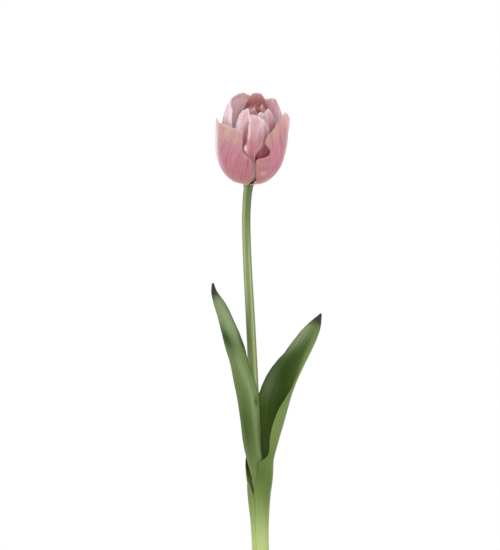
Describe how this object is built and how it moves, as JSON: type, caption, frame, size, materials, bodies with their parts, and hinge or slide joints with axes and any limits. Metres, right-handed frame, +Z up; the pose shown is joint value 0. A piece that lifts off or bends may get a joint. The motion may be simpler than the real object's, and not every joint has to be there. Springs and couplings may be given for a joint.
{
  "type": "tulip in a vase",
  "caption": "Cut double tulip: a cupped pink bloom on a slender stem with clasping leaves, standing in water in a plain narrow-necked ceramic bud vase.",
  "frame": {"origin": "middle of the vase's flat foot, on the surface it stands on", "axes": "+Z up along the vase's axis, +Y away from the viewer of the picture, +X to the viewer's right"},
  "size_m": [0.0772, 0.0726, 0.476],
  "materials": {
    "glazed_stoneware": "satin off-white glaze with faint speckles, bare clay on the foot",
    "water": "clear still water",
    "stem": "smooth, slightly waxy, paler on the side to the light",
    "petals": "soft satin pink with fine streaks along the petal and pale greenish beige edges",
    "inner_petals": "soft satin dusky red-pink with lighter rims",
    "pistil": "smooth pale green with a yellowish stigma",
    "stamens": "pale threads with matt dark anthers",
    "leaf_lower": "satin dark green with fine lengthwise ribs, paler towards the sheath's base",
    "leaf_upper": "satin grey-green with fine lengthwise ribs and a dark tip"
  },
  "bodies": {
    "root": {"vase": "glazed_stoneware", "water": "water", "stem": "stem", "petal_outer_left": "petals", "petal_outer_right": "petals", "petal_outer_back": "petals", "petal_second_front": "petals", "petal_second_left": "petals", "petal_second_right": "petals", "petal_third_front_left": "petals", "petal_third_front_right": "petals", "petal_third_right": "petals", "petal_third_back": "petals", "petal_third_left": "petals", "petal_inner_front": "inner_petals", "petal_inner_right": "inner_petals", "petal_inner_back": "inner_petals", "petal_inner_left": "inner_petals", "pistil": "pistil", "stamens": "stamens", "leaf_lower": "leaf_lower", "leaf_upper": "leaf_upper"}
  },
  "joints": []
}
